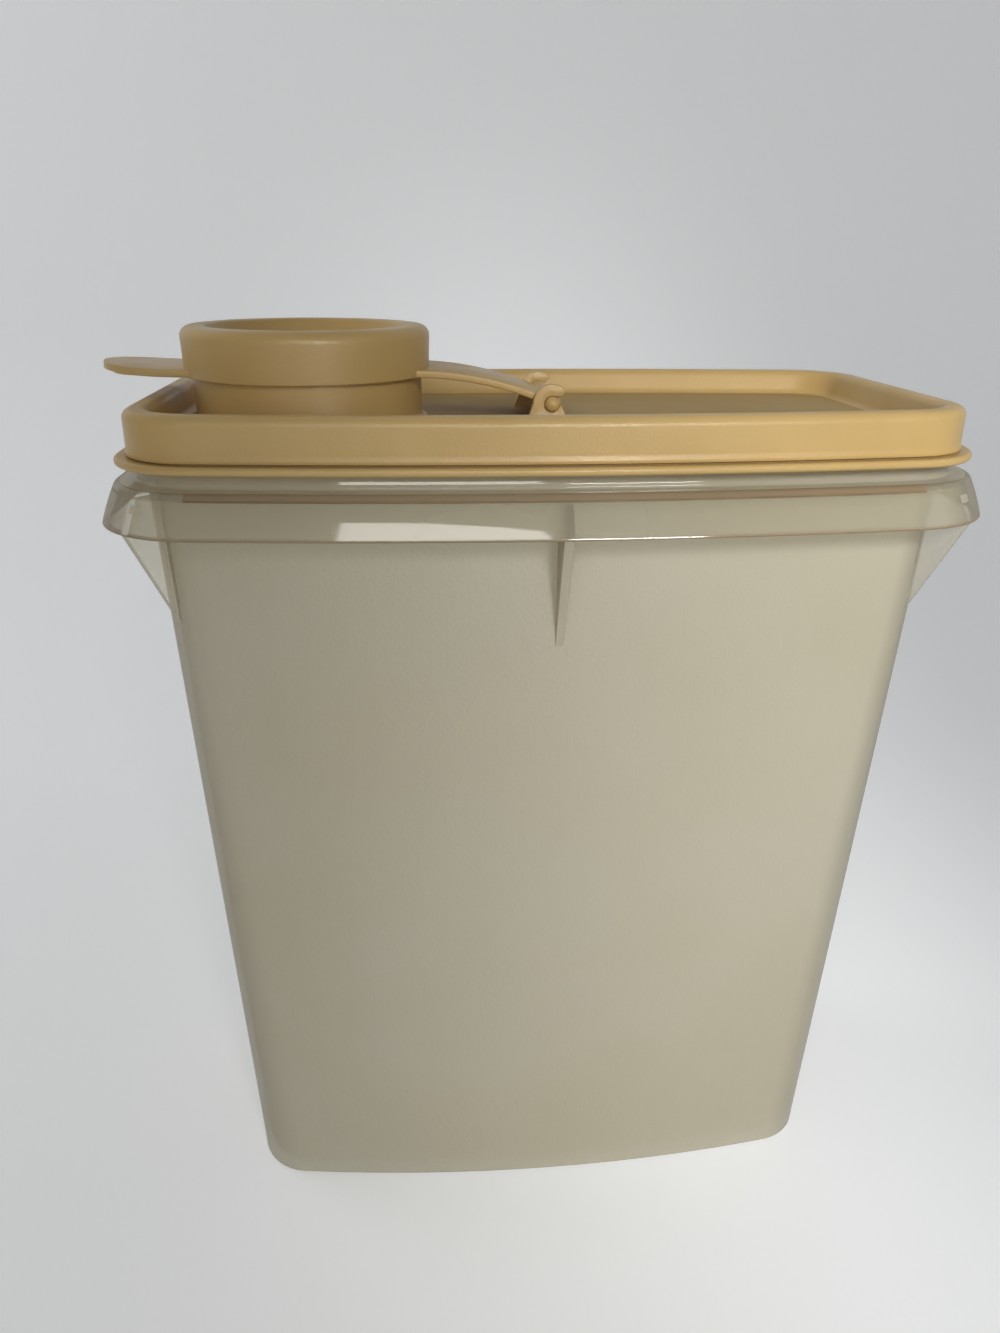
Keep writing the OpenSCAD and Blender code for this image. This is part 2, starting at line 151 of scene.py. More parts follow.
def draw_line(corners, hold=0.3):
    """Draws a line through corners of (x, z) or (x, z, radius). A long straight run gets a point
    near each end, so that the smooth shading of a rounded edge doesn't spread over the flat."""
    pen = pen_down(*corners[0][:2])
    for i in range(1, len(corners)):
        point = Vector(corners[i][:2])
        back = Vector(corners[i - 1][:2]) - point
        back.normalize()
        rounded = len(corners[i]) == 3
        target = point
        if rounded:
            ahead = (Vector(corners[i + 1][:2]) - point).normalized()
            turn = math.pi - back.angle(ahead)
            target = point + back * corners[i][2] * math.tan(turn / 2)
        run = (target - pen).length
        if run > 4 * hold:
            away = (target - pen).normalized() * hold
            pen = line_to(pen, *(pen + away))
            pen = line_to(pen, *(target - away))
        pen = line_to(pen, *target)
        if rounded:
            centre = point + (back + ahead).normalized() * corners[i][2] / math.cos(turn / 2)
            side = math.copysign(1, ahead.x * back.y - ahead.y * back.x)
            pen = arc_round(centre, pen, side * math.degrees(turn))


def draw_section(section, start):
    """Draws a section whose distances are measured outwards from this start."""
    draw_line([(start + corner[0],) + corner[1:] for corner in section])


def sweep_quarter(length, depth, corner, bow):
    """Sweeps the drawn section from the middle of the plain end, round a corner, to the middle of
    the back. The bow's angle is rounded as the solids have it."""
    corner_x = length / 2 - corner
    corner_y = depth / 2 - corner
    bow_turn = math.radians(round(2 * math.degrees(math.atan(bow / corner_x)), 2))
    bow_y = corner_y - corner_x / math.tan(bow_turn)
    bpy.ops.mesh.select_linked()
    for run in (corner_y - LAST_STRAIGHT, LAST_STRAIGHT):
        extrude(0, run, 0)
    for turn, steps, centre in (
        (math.pi / 2 - bow_turn, CORNER_STEPS, (corner_x * MM, corner_y * MM, 0)),
        (bow_turn, SIDE_STEPS, (0, bow_y * MM, 0)),
    ):
        bpy.ops.mesh.spin(steps=steps, angle=-turn, center=centre, axis=(0, 0, 1))


def select_points(test):
    """Selects the points whose place, in millimetres, passes a test."""
    bpy.ops.mesh.select_all(action="DESELECT")
    points = bmesh.from_edit_mesh(bpy.context.object.data)
    for point in points.verts:
        point.select_set(bool(test(point.co / MM)))
    points.select_flush(True)
    bmesh.update_edit_mesh(bpy.context.object.data)


def select_open_edge(test):
    """Selects the open edges whose two ends pass a test of their place, in millimetres."""
    bpy.ops.mesh.select_all(action="DESELECT")
    points = bmesh.from_edit_mesh(bpy.context.object.data)
    for edge in points.edges:
        if edge.is_boundary and all(test(point.co / MM) for point in edge.verts):
            edge.select_set(True)
    bmesh.update_edit_mesh(bpy.context.object.data)


def at_height(z):
    return lambda place: abs(place.z - z) < SAME_PLACE


def bridge(z_upper, z_lower):
    """Joins the open ends of two sections that stop at these heights, as a wall."""
    select_open_edge(lambda place: at_height(z_upper)(place) or at_height(z_lower)(place))
    bpy.ops.mesh.bridge_edge_loops(number_cuts=WALL_STEPS, interpolation="LINEAR")


def mirror_front_and_back(piece, ends_too=False):
    """Completes a half by mirroring it, or a quarter where the ends are mirrored too, and goes
    back to edit mode."""
    bpy.ops.object.mode_set(mode="OBJECT")
    mirror = piece.modifiers.new("other_sides", "MIRROR")
    mirror.use_axis = (ends_too, True, False)
    mirror.merge_threshold = MIRROR_GAP * MM
    bpy.ops.object.modifier_apply(modifier=mirror.name)
    bpy.ops.object.mode_set(mode="EDIT")


def fill_outline():
    """Fills the one outline that has been drawn."""
    bpy.ops.mesh.select_all(action="SELECT")
    bpy.ops.mesh.edge_face_add()


def bevel_edges(radius, segments):
    """Rounds the selected edges by this many millimetres."""
    bpy.ops.mesh.bevel(offset=radius * MM, segments=segments, affect="EDGES")


def face_outwards():
    bpy.ops.mesh.select_all(action="SELECT")
    bpy.ops.mesh.normals_make_consistent(inside=False)


def close_skin():
    """Merges doubled points and turns every face outwards."""
    bpy.ops.mesh.select_all(action="SELECT")
    bpy.ops.mesh.remove_doubles(threshold=SAME_PLACE * MM)
    face_outwards()


def take_out(piece):
    """Leaves edit mode with the piece as the only selected object."""
    bpy.ops.object.mode_set(mode="OBJECT")
    bpy.ops.object.select_all(action="DESELECT")
    piece.select_set(True)
    bpy.context.view_layer.objects.active = piece


def join_on(piece, part, operation="UNION"):
    """Moulds a part onto a piece, or cuts it out of it, and removes the part."""
    take_out(piece)
    joint = piece.modifiers.new("joint", "BOOLEAN")
    joint.operation = operation
    joint.solver = "EXACT"
    joint.object = part
    bpy.ops.object.modifier_apply(modifier=joint.name)
    bpy.data.objects.remove(part, do_unlink=True)


def smooth(piece, degrees=32):
    """Shades the piece smooth, with a crisp edge wherever it turns by more than this."""
    take_out(piece)
    bpy.ops.object.shade_smooth_by_angle(angle=math.radians(degrees))


container = start_piece("container_tub")
for plan, section in (
    (NECK_PLAN, COLLAR_SECTION),
    (BASE_PLAN, BASE_SECTION),
    (BASE_PLAN, FLOOR_SECTION),
):
    draw_section(section, plan[0] / 2)
    sweep_quarter(*plan)
bridge(WALL_TOP, WALL_FOOT)
bridge(INSIDE_TOP, INSIDE_FOOT)
mirror_front_and_back(container, ends_too=True)
for z in (0, INSIDE_FLOOR):
    select_open_edge(at_height(z))
    bpy.ops.mesh.edge_face_add()
close_skin()
take_out(container)

# Six gussets hold the skirt to the walls: one under each corner and one at the middle of each
# long side. They are thin blades of the same moulding, wide under the shelf and pointed below.
GUSSET_T = 2.2
GUSSET_ROOT_T = 2.8
GUSSET_EDGE_R = 0.3
GUSSET_SINK = (1, 0.5)
SKIRT_INSET_ABOVE = 5.8
SKIRT_INSET_BELOW = 1.2
CORNER_CENTRE = (94, 33.8)
MATT, POLISHED, EDGE_AND_SHADE, CLOUDY, DULL_INSIDE = range(5)


def gusset(name, tip, wall_top, wall_tip, skirt_edge):
    """One blade in the plane y = 0, its distances measured from its own axis. It is sunk a little
    into the wall and the shelf. Its faces are polished and its narrow edges cloudy."""
    blade = start_piece(name)
    into_wall, into_shelf = GUSSET_SINK
    draw_line(
        [
            (wall_top - into_wall, UNDER_SHELF + into_shelf),
            (skirt_edge - SKIRT_INSET_ABOVE, UNDER_SHELF + into_shelf),
            (skirt_edge - SKIRT_INSET_BELOW, SKIRT_BOTTOM),
            (wall_tip, tip),
            (wall_tip - into_wall, tip),
        ],
        hold=math.inf,
    )
    fill_outline()
    bpy.ops.transform.translate(value=(0, -GUSSET_T / 2 * MM, 0))
    extrude(0, GUSSET_T, 0)
    select_points(lambda place: place.z > SKIRT_BOTTOM - 1)
    bpy.ops.transform.resize(value=(1, GUSSET_ROOT_T / GUSSET_T, 1), center_override=(0, 0, 0))
    close_skin()
    bevel_edges(GUSSET_EDGE_R, 2)
    take_out(blade)
    for face in blade.data.polygons:
        face.material_index = CLOUDY if abs(face.normal.y) < 0.5 else POLISHED
    return blade


corner_blade = gusset("corner_gusset", tip=208.3, wall_top=16.6, wall_tip=14.43, skirt_edge=29.3)
corner_blade.rotation_euler.z = math.radians(45)
corner_blade.location = (CORNER_CENTRE[0] * MM, CORNER_CENTRE[1] * MM, 0)
bpy.ops.object.transform_apply()
mirror_front_and_back(corner_blade, ends_too=True)
take_out(corner_blade)
side_blade = gusset("side_gusset", tip=201.8, wall_top=55.6, wall_tip=53.98, skirt_edge=68.3)
side_blade.rotation_euler.z = math.radians(90)
bpy.ops.object.transform_apply()
mirror_front_and_back(side_blade)
take_out(side_blade)

# The walls are finely matt from the mould and let light through like milk glass. The collar and
# the gussets' faces are polished and clear, and the skirt's inside is as clear but dull. The neck
# is cloudier. The shelf's rim and the skirt's bottom edge are a deep amber, partly for the
# plastic's thickness seen edge on and partly as painted shade: the shade under the shelf and the
# dark line along the skirt's foot.
MILK = (0.80, 0.76, 0.62)
OLD_MILK = (0.78, 0.73, 0.57)
# These two ambers stand partly for the plastic's thickness and partly for painted shade.
THICKNESS_AND_SHADE_TINT = (0.50, 0.38, 0.24)
DEEP_THICKNESS_AND_SHADE_TINT = (0.46, 0.34, 0.21)
CLEAR_FACE_ON = (0.97, 0.96, 0.92)
CLEAR_EDGE_ON = (0.42, 0.37, 0.29)
PASSED_LIGHT = 0.45
GLOSS_FACE_ON = 0.045
BUMP_STRENGTH = 0.6
CLOUD_SIZE = 90
RUB_SIZE = 25


def new_finish(name):
    finish = bpy.data.materials.new(name)
    finish.use_nodes = True
    return finish


def add_node(finish, kind, operation=None):
    node = finish.node_tree.nodes.new(kind)
    if operation:
        node.operation = operation
    return node


def connect(finish, source, target):
    finish.node_tree.links.new(source, target)


def grain(finish, size, detail=2):
    """A noise on the piece's own coordinates, with features of about this size in millimetres."""
    place = add_node(finish, "ShaderNodeTexCoord")
    noise = add_node(finish, "ShaderNodeTexNoise")
    noise.inputs["Scale"].default_value = 1 / (size * MM)
    noise.inputs["Detail"].default_value = detail
    connect(finish, place.outputs["Object"], noise.inputs["Vector"])
    return noise.outputs["Fac"]


def spread(finish, value, low, high, to_low=0, to_high=1):
    """Stretches a value's range from low and high to the last two."""
    stretch = add_node(finish, "ShaderNodeMapRange")
    stretch.inputs["From Min"].default_value = low
    stretch.inputs["From Max"].default_value = high
    stretch.inputs["To Min"].default_value = to_low
    stretch.inputs["To Max"].default_value = to_high
    connect(finish, value, stretch.inputs["Value"])
    return stretch.outputs["Result"]


def calculate(finish, operation, first, second):
    """Works out one sum, whose second value is a number or another node's result."""
    sum_node = add_node(finish, "ShaderNodeMath", operation)
    connect(finish, first, sum_node.inputs[0])
    if isinstance(second, (int, float)):
        sum_node.inputs[1].default_value = second
    else:
        connect(finish, second, sum_node.inputs[1])
    return sum_node.outputs["Value"]


def mix_colours(finish, share, low, high):
    ramp = add_node(finish, "ShaderNodeValToRGB")
    for stop, colour in zip(ramp.color_ramp.elements, (low, high)):
        stop.color = (*colour, 1)
    connect(finish, share, ramp.inputs["Fac"])
    return ramp.outputs["Color"]


def mix_shaders(finish, share, low, high):
    """Mixes two shaders by a fixed share, set on the socket, or by another node's result."""
    mix = add_node(finish, "ShaderNodeMixShader")
    if isinstance(share, float):
        mix.inputs["Fac"].default_value = share
    else:
        connect(finish, share, mix.inputs["Fac"])
    connect(finish, low.outputs[0], mix.inputs[1])
    connect(finish, high.outputs[0], mix.inputs[2])
    return mix


def show(finish, shader):
    output = finish.node_tree.nodes["Material Output"]
    connect(finish, shader.outputs[0], output.inputs["Surface"])


def bumps(finish, size, depth):
    """Raised grain of this size and depth in millimetres."""
    bump = add_node(finish, "ShaderNodeBump")
    bump.inputs["Strength"].default_value = BUMP_STRENGTH
    bump.inputs["Distance"].default_value = depth * MM
    connect(finish, grain(finish, size), bump.inputs["Height"])
    return bump.outputs["Normal"]


def clear_plastic(finish, colour):
    clear = add_node(finish, "ShaderNodeBsdfTransparent")
    clear.inputs["Color"].default_value = (*colour, 1)
    return clear


def milky(
    name, clear, edge_clear, skin_rough, skin_edge, grain_size=12, grain_depth=0.01,
    colours=(MILK, OLD_MILK),
):
    """Milky polyethylene: a cloudy body that passes some light, clear to a share that changes
    towards its outline, where the way through it is longer. Its outer side has a waxy skin."""
    finish = new_finish(name)
    body = finish.node_tree.nodes["Principled BSDF"]
    tint = mix_colours(finish, spread(finish, grain(finish, CLOUD_SIZE), 0.35, 0.65), *colours)
    connect(finish, tint, body.inputs["Base Color"])
    body.inputs["Roughness"].default_value = 0.6
    body.inputs["Specular IOR Level"].default_value = 0
    passing = add_node(finish, "ShaderNodeBsdfTranslucent")
    connect(finish, tint, passing.inputs["Color"])
    skin = add_node(finish, "ShaderNodeBsdfGlossy")
    skin.inputs["Color"].default_value = (1, 1, 1, 1)
    low_rough, high_rough = skin_rough * 0.85, skin_rough * 1.2
    rubbed = spread(finish, grain(finish, RUB_SIZE), 0.3, 0.7, low_rough, high_rough)
    connect(finish, rubbed, skin.inputs["Roughness"])
    texture = bumps(finish, grain_size, grain_depth)
    for shader in (body, passing, skin):
        connect(finish, texture, shader.inputs["Normal"])

    layer = add_node(finish, "ShaderNodeLayerWeight")
    layer.inputs["Blend"].default_value = 0.5
    edge_on = layer.outputs["Facing"]
    way_through = spread(finish, edge_on, 0.3, 0.85)
    clearness = spread(finish, edge_on, 0.3, 0.95, clear, edge_clear)
    grazing = calculate(finish, "POWER", edge_on, 4)
    shine = spread(finish, grazing, 0, 1, GLOSS_FACE_ON, skin_edge)
    side = add_node(finish, "ShaderNodeNewGeometry")
    outer_side = calculate(finish, "LESS_THAN", side.outputs["Backfacing"], 0.5)
    outer_shine = calculate(finish, "MULTIPLY", shine, outer_side)

    face_on_clear = clear_plastic(finish, CLEAR_FACE_ON)
    edge_on_clear = clear_plastic(finish, CLEAR_EDGE_ON)
    through = mix_shaders(finish, way_through, face_on_clear, edge_on_clear)
    cloudy_body = mix_shaders(finish, PASSED_LIGHT, body, passing)
    wall = mix_shaders(finish, clearness, cloudy_body, through)
    show(finish, mix_shaders(finish, outer_shine, wall, skin))
    return finish


finishes = (
    milky("milky_matt", 0.06, 0.6, 0.45, 0.5, grain_size=1.0, grain_depth=0.4),
    milky("milky_polished", 0.68, 0.6, 0.05, 0.35),
    milky("milky_edge_and_shade", 0.25, 0.25, 0.08, 0.35, colours=(THICKNESS_AND_SHADE_TINT, DEEP_THICKNESS_AND_SHADE_TINT)),
    milky("milky_cloudy", 0.3, 0.3, 0.05, 0.35),
    milky("milky_dull_inside", 0.68, 0.6, 0.5, 0.1),
)
for piece in (container, corner_blade, side_blade):
    for finish in finishes:
        piece.data.materials.append(finish)

# Where each finish starts: heights, and distances from the middle along and across the tub.
SHELF_EDGE = (245.9, 247.79)
SKIRT_EDGE = (236, 237.2)
SKIRT_INSIDE = (236.7, 245.85)
POLISH_FROM = 243.7
NECK_FOOT = 246
OUTSIDE_NECK = (113.5, 54.5)
OUTSIDE_WALL = (110.5, 56.5)
INSIDE_SKIRT = (111, 50)
CORNER_FROM = (94, 30)


def beyond(x, y, limits):
    return x > limits[0] or y > limits[1]


for face in container.data.polygons:
    x, y, z = (abs(size) / MM for size in face.center)
    outside = beyond(x, y, OUTSIDE_NECK if z > NECK_FOOT else OUTSIDE_WALL)
    in_corner = x >= CORNER_FROM[0] and y >= CORNER_FROM[1]
    on_shelf_edge = SHELF_EDGE[0] < z < SHELF_EDGE[1] and not in_corner
    on_skirt_edge = SKIRT_EDGE[0] < z < SKIRT_EDGE[1]
    looks_inwards = face.normal.xy.dot(face.center.xy) < 0
    in_skirt = SKIRT_INSIDE[0] < z < SKIRT_INSIDE[1] and beyond(x, y, INSIDE_SKIRT)
    # The shelf's rim and the skirt's foot get the amber of thickness and painted shade. The
    # shelf's corners are left out, where no shaded wall lies behind.
    if outside and (on_shelf_edge or on_skirt_edge):
        face.material_index = EDGE_AND_SHADE
    elif z > SHELF_EDGE[1]:
        face.material_index = CLOUDY
    elif in_skirt and looks_inwards:
        face.material_index = DULL_INSIDE
    elif z > POLISH_FROM or z > SKIRT_EDGE[0] and outside:
        face.material_index = POLISHED
join_on(container, corner_blade)
join_on(container, side_blade)
smooth(container)
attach(container, "container")
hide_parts("container")


# ---- Lid ----
# A shallow press-on lid in gold polyethylene: an upturned channel that grips the neck, a thin
# flange to peel it off by, and a panel sunk inside the rim.
PANEL = 258.8
PANEL_UNDER = 257
RIM_TOP = 266.3
RIM_UNDER = 264.7
FLANGE = (252, 254.3)
GROOVE = (254.1, 254.6)
SPOUT_X = -68.977
LID_SECTION = [
    (-7.45, PANEL),
    (-5.54, PANEL, 2),
    (-3.25, RIM_TOP, 2.5),
    (3.2, RIM_TOP, 2.5),
    (3.2, 256.6),
    (3.5, 255.4, 0.8),
    (3.4, GROOVE[1], 0.2),
    (2.4, 254.55, 0.1),
    (2.4, GROOVE[0], 0.1),
    (3.6, GROOVE[0]),
    (6.5, FLANGE[1], 1),
    (6.5, FLANGE[0], 1),
    (1.6, FLANGE[0]),
    (1.6, RIM_UNDER, 0.9),
    (-2.12, RIM_UNDER, 0.9),
    (-4.47, PANEL_UNDER, 0.5),
    (-7.45, PANEL_UNDER),
]


def turn_round(x, steps=96):
    """Turns the drawn half section round the upright axis at x, like clay on a wheel."""
    bpy.ops.mesh.select_linked()
    centre = (x * MM, 0, 0)
    bpy.ops.mesh.spin(steps=steps, angle=math.tau, center=centre, axis=(0, 0, 1))


lid = start_piece("lid_moulding")
draw_section(LID_SECTION, NECK_PLAN[0] / 2)
sweep_quarter(*NECK_PLAN)
mirror_front_and_back(lid, ends_too=True)

# The pouring spout stands on the panel: a wide round pipe, straight where it shows, then drawn
# in a little where the cap covers it. The panel is closed in round its foot.
SPOUT_TOP = 283.1
SPOUT_BEND = 271.1
SPOUT_SECTION = [
    (35.1, PANEL),
    (33.1, PANEL, 1.6),
    (33.1, SPOUT_BEND, 2),
    (31.9, SPOUT_TOP, 0.8),
    (30.3, SPOUT_TOP, 0.8),
    (31.5, SPOUT_BEND, 2),
    (31.5, PANEL_UNDER, 0.3),
    (32.4, PANEL_UNDER),
]
draw_section(SPOUT_SECTION, SPOUT_X)
turn_round(SPOUT_X)
for z in (PANEL, PANEL_UNDER):
    select_open_edge(at_height(z))
    bpy.ops.mesh.fill()
close_skin()
take_out(lid)

# Two hooked ears stand on the panel beside the spout. Each is open towards the far end of the
# lid, so that the cap's cross pin can be pressed in.
HINGE = (1.423, 264)
EAR_INNER = 16.35
EAR_T = 2.2
EAR_EDGE_R = 0.25
EAR_SHARP = 40


def from_pin(x, z):
    """A place in the ear's outline, measured from the middle of the pin."""
    return HINGE[0] + x, HINGE[1] + z


ear = start_piece("hinge_ear")
pen = pen_down(*from_pin(-7.4, -6.1))
pen = line_to(pen, *from_pin(-7.4, -5.2))
pen = line_to(pen, *from_pin(-5.5, 0))
pen = arc_round(HINGE, pen, -128.6, 8)
pen = arc_round(from_pin(2.87, 3.595), pen, -78.8, 15)
pen = line_to(pen, *from_pin(2.78, 2.1))
pen = line_to(pen, *from_pin(0.888, 2.1))
pen = arc_round(HINGE, pen, 280.2)
pen = line_to(pen, *from_pin(2.78, -0.5))
pen = line_to(pen, *from_pin(4.9, -5.2))
line_to(pen, *from_pin(4.9, -6.1))
fill_outline()
bpy.ops.transform.translate(value=(0, EAR_INNER * MM, 0))
extrude(0, EAR_T, 0)
close_skin()
bpy.ops.mesh.select_all(action="DESELECT")
bpy.ops.mesh.edges_select_sharp(sharpness=math.radians(EAR_SHARP))
bevel_edges(EAR_EDGE_R, 2)
mirror_front_and_back(ear)
take_out(ear)
join_on(lid, ear)
smooth(lid)

# Gold plastic with a satin, slightly waxy skin: faint clouds in the colour, a fine mould grain,
# and rubbed places that shine less. The panel is duller and painted darker as shade, and the
# groove under the bead is painted darker still as shade.
GOLD = (0.61, 0.42, 0.165)
DEEP_GOLD = (0.56, 0.375, 0.14)
GOLD_CLOUD_SIZE = 45
GOLD_RUB_SIZE = 14
MOULD_GRAIN = 0.7
MOULD_GRAIN_DEPTH = 0.13
SATIN_RIM, MATT_SHADED_PANEL, SHADED_GROOVE = range(3)


def satin_gold(name, smooth_rough, worn_rough, shade=1):
    finish = new_finish(name)
    body = finish.node_tree.nodes["Principled BSDF"]
    clouds = spread(finish, grain(finish, GOLD_CLOUD_SIZE, 3), 0.35, 0.65)
    tint = mix_colours(finish, clouds, Vector(GOLD) * shade, Vector(DEEP_GOLD) * shade)
    connect(finish, tint, body.inputs["Base Color"])
    wear = grain(finish, GOLD_RUB_SIZE, 4)
    rubbed = spread(finish, wear, 0.35, 0.65, smooth_rough, worn_rough)
    connect(finish, rubbed, body.inputs["Roughness"])
    texture = bumps(finish, MOULD_GRAIN, MOULD_GRAIN_DEPTH)
    connect(finish, texture, body.inputs["Normal"])
    body.inputs["IOR"].default_value = 1.5
    return finish


gold = satin_gold("satin_gold", 0.32, 0.46)
lid.data.materials.append(gold)
# Painted shade: the panel's copy is darkened to 0.72 and the groove's to 0.5, standing in for the
# shade on the sunk panel and in the groove under the bead.
lid.data.materials.append(satin_gold("matt_shaded_gold", 0.6, 0.7, 0.72))
lid.data.materials.append(satin_gold("groove_shade_gold", 0.6, 0.7, 0.5))
# The sunk panel's top faces and the groove's faces get these painted shade copies.
for face in lid.data.polygons:
    z = face.center.z / MM
    if abs(z - PANEL) < 0.01 and face.normal.z > 0.5:
        face.material_index = MATT_SHADED_PANEL
    elif GROOVE[0] - 0.02 < z < GROOVE[1] and face.normal.z < 0.5:
        face.material_index = SHADED_GROOVE
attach(lid, "lid")
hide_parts("lid")


# ---- Flip cap ----
# A round cap with a dish in its top, whose underside plugs the spout. It is one moulding with
# the finger tab, the strap that arches to the hinge, and the cross pin.
CAP_BOTTOM = 271.1
CAP_TOP = 284.8
CAP_R = 35.4
SPOUT_ROOM_TOP = 283.2
DISH_UNDER = 276.2
DISH_FLOOR = 277.8
CAP_SECTION = [
    (0, DISH_UNDER),
    (25.19, DISH_UNDER, 3.1),
    (29.6, SPOUT_ROOM_TOP),
    (34.3, SPOUT_ROOM_TOP, 1.4),
    (33.8, CAP_BOTTOM, 0.3),
    (CAP_R, CAP_BOTTOM, 0.35),
    (35.9, CAP_TOP, 3),
    (28.72, CAP_TOP, 1.6),
    (24.31, DISH_FLOOR, 1.5),
    (0, DISH_FLOOR),
]
cap = start_piece("flip_cap_moulding")
draw_section(CAP_SECTION, SPOUT_X)
turn_round(SPOUT_X)
close_skin()
take_out(cap)

# The finger tab: a flat tongue with a round end, curled up towards its tip.
STRAP_W = 32
STRAP_T = 2.1
STRAP_ROOT = 30.777
TAB_TIP = SPOUT_X - 58.4
TAB_UNDER = CAP_BOTTOM + 0.3
TAB_LIFT = 1.8
TAB_ROWS = 14
TAB_EDGE_R = 0.5


def add_disc(steps, radius, x, z):
    """Adds a flat round disc that lies level on the middle line."""
    place = (x * MM, 0, z * MM)
    bpy.ops.mesh.primitive_circle_add(
        vertices=steps, radius=radius * MM, fill_type="NGON", location=place
    )


def cut_across(x, **sides):
    """Cuts the whole shape along an upright plane across the strap."""
    bpy.ops.mesh.select_all(action="SELECT")
    bpy.ops.mesh.bisect(plane_co=(x * MM, 0, 0), plane_no=(1, 0, 0), **sides)


def thicken(piece, offset, edge_r):
    """Gives a sheet the strap's thickness and rounds its edges, as the mould leaves them."""
    take_out(piece)
    sheet = piece.modifiers.new("thickness", "SOLIDIFY")
    sheet.thickness = STRAP_T * MM
    sheet.offset = offset
    edges = piece.modifiers.new("edges", "BEVEL")
    edges.width = edge_r * MM
    edges.segments = 3
    edges.limit_method = "ANGLE"
    edges.angle_limit = math.radians(50)
    for modifier in (sheet, edges):
        bpy.ops.object.modifier_apply(modifier=modifier.name)


tab = start_piece("finger_tab")
end_x = TAB_TIP + STRAP_W / 2
add_disc(96, STRAP_W / 2, end_x, TAB_UNDER)
cut_across(end_x, clear_outer=True)
select_points(lambda place: abs(place.x - end_x) < 0.01)
tab_run = SPOUT_X - STRAP_ROOT - TAB_TIP
extrude(tab_run - STRAP_W / 2, 0, 0)
for row in range(1, TAB_ROWS):
    cut_across(TAB_TIP + tab_run * row / TAB_ROWS)
points = bmesh.from_edit_mesh(tab.data).verts
for x in sorted({round(point.co.x / MM, 2) for point in points}):
    lift = TAB_LIFT * ((SPOUT_X - STRAP_ROOT - x) / tab_run) ** 2
    select_points(lambda place: abs(place.x - x) < 0.006)
    bpy.ops.transform.translate(value=(0, 0, lift * MM))
face_outwards()
thicken(tab, 1, TAB_EDGE_R)

# A grip pad stands out under the tip of the tab, so that a finger doesn't slip off.
PAD_R = 13.5
PAD_LENGTH = 11
PAD_T = 1.8
PAD_EDGE_R = 0.4
PAD_UNDER = CAP_BOTTOM + 0.55
pad = start_piece("grip_pad")
add_disc(72, PAD_R, end_x, PAD_UNDER)
cut_across(end_x - PAD_R + PAD_LENGTH, clear_outer=True)
bpy.ops.mesh.select_all(action="SELECT")
extrude(0, 0, PAD_T)
close_skin()
select_points(at_height(PAD_UNDER))
bevel_edges(PAD_EDGE_R, 3)
take_out(pad)
join_on(tab, pad)

# The strap: an arch that leaves the cap level and comes down on the pin. Tab and strap run on
# into the cap's wall, and are cut away inside it.
ARCH_R = 100.39
ARCH_TURN = 23.25
STRAP_EDGE_R = 0.45
ROOT = (SPOUT_X + STRAP_ROOT, CAP_BOTTOM + STRAP_T / 2)
WALL_MIDDLE_R = 34.4
INSIDE_HEIGHT = 24
strap = start_piece("hinge_strap")
pen = pen_down(*ROOT)
bpy.ops.transform.translate(value=(0, -STRAP_W / 2 * MM, 0))
extrude(0, STRAP_W, 0)
bpy.ops.mesh.select_all(action="SELECT")
arc_round((ROOT[0], ROOT[1] - ARCH_R), pen, -ARCH_TURN, 1)
face_outwards()
thicken(strap, 0, STRAP_EDGE_R)
join_on(tab, strap)
middle = (SPOUT_X * MM, 0, (CAP_BOTTOM + 8) * MM)
bpy.ops.mesh.primitive_cylinder_add(
    vertices=96, radius=WALL_MIDDLE_R * MM, depth=INSIDE_HEIGHT * MM, location=middle
)
join_on(tab, bpy.context.object, "DIFFERENCE")
join_on(cap, tab)

# The cross pin: the strap's rolled end is the thick middle of it, and each end is domed.
PIN_R = 2.2
PIN_HALF = 21.1
ROLL_R = 2.9
ROLL_HALF = 16
pin = start_piece("cross_pin")
draw_line(
    [
        (0, -PIN_HALF),
        (PIN_R, -PIN_HALF, PIN_R),
        (PIN_R, -ROLL_HALF),
        (ROLL_R, -ROLL_HALF, 0.4),
        (ROLL_R, ROLL_HALF, 0.4),
        (PIN_R, ROLL_HALF),
        (PIN_R, PIN_HALF, PIN_R),
        (0, PIN_HALF),
    ]
)
turn_round(0, steps=40)
close_skin()
take_out(pin)
pin.rotation_euler.x = math.radians(90)
pin.location = (HINGE[0] * MM, 0, HINGE[1] * MM)
bpy.ops.object.transform_apply()
join_on(cap, pin)
smooth(cap)
cap.data.materials.append(gold)
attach(cap, "flip_cap")
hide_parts("flip_cap")


# ---- Floor, light and camera ----
# A plain pale sweep stands in for the table and the wall. The key light is a soft tall spot in
# front, a little to the right, with weak fills from the front and from behind on the left.
SWEEP_SIZE = 4
SWEEP_COLOUR = (0.84, 0.85, 0.86)
SWEEP_SEEN = 0.24
WALL_AT = 0.55
WALL_HEIGHT = 2.2
BEND_R = 0.25


def pale_surface(name, colour, seen):
    """A matt pale surface that is a little brighter to the camera and to reflections than the
    lamps make it, so that no more light falls on the object."""
    finish = new_finish(name)
    body = finish.node_tree.nodes["Principled BSDF"]
    body.inputs["Base Color"].default_value = (*colour, 1)
    body.inputs["Roughness"].default_value = 0.6
    body.inputs["Emission Color"].default_value = (1, 1, 1, 1)
    rays = add_node(finish, "ShaderNodeLightPath").outputs
    looked_at = calculate(finish, "ADD", rays["Is Camera Ray"], rays["Is Glossy Ray"])
    looked_at = calculate(finish, "ADD", looked_at, rays["Is Transmission Ray"])
    shown = calculate(finish, "MULTIPLY", looked_at, seen)
    connect(finish, shown, body.inputs["Emission Strength"])
    return finish


